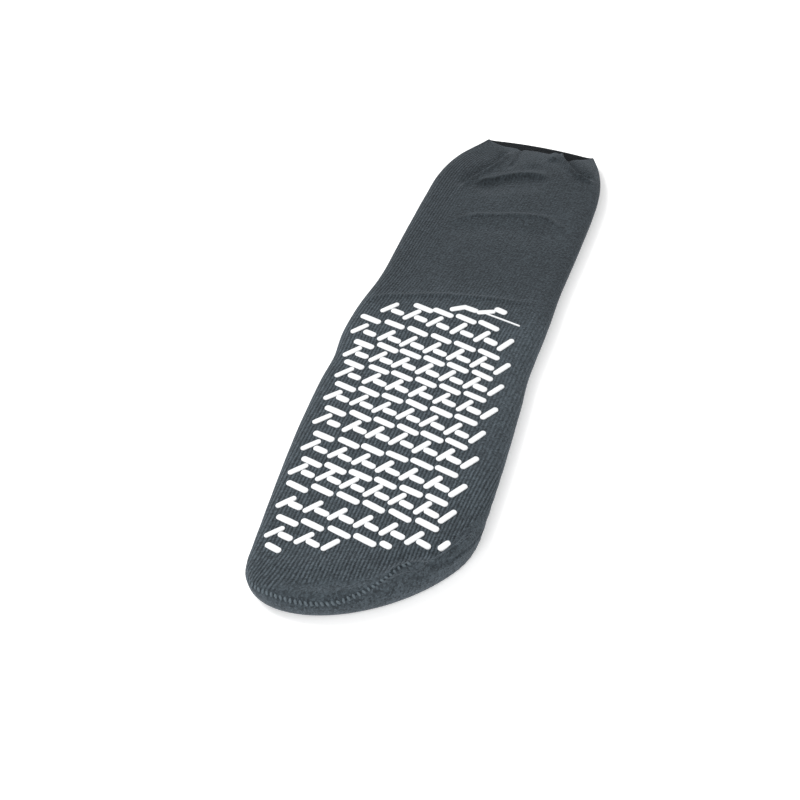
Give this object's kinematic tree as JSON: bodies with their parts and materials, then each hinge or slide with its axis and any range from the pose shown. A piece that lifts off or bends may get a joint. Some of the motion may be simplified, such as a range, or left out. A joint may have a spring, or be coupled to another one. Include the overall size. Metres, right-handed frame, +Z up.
{
  "type": "slipper sock",
  "caption": "Knitted slipper sock laid flat, sole up: a hollow tube open at its gathered collar and closed at the toe, with rubber grip strips on the sole.",
  "frame": {"origin": "on the floor under the middle of the laid sock's bounding box", "axes": "+Z up, away from the floor that the instep lies on, so the sole faces up; +Y along the sock, from the toe to the collar; +X across it, to the right as seen from above with the toe nearest"},
  "size_m": [0.1108, 0.3604, 0.0156],
  "materials": {
    "terry_knit": "dark slate grey ribbed terry knit, matt",
    "grip_rubber": "near-white printed rubber, satin"
  },
  "bodies": {
    "root": {"knit_body": "terry_knit", "grip_line_00": "grip_rubber", "grip_line_01": "grip_rubber", "grip_line_02": "grip_rubber", "grip_line_03": "grip_rubber", "grip_line_04": "grip_rubber", "grip_line_05": "grip_rubber", "grip_line_06": "grip_rubber", "grip_line_07": "grip_rubber", "grip_line_08": "grip_rubber", "grip_line_09": "grip_rubber", "grip_line_10": "grip_rubber", "grip_zigzag_00": "grip_rubber", "grip_zigzag_01": "grip_rubber", "grip_zigzag_02": "grip_rubber", "grip_zigzag_03": "grip_rubber", "grip_zigzag_04": "grip_rubber", "grip_zigzag_05": "grip_rubber", "grip_zigzag_06": "grip_rubber", "grip_zigzag_07": "grip_rubber", "grip_zigzag_08": "grip_rubber", "grip_zigzag_09": "grip_rubber", "grip_zigzag_10": "grip_rubber"}
  },
  "joints": []
}
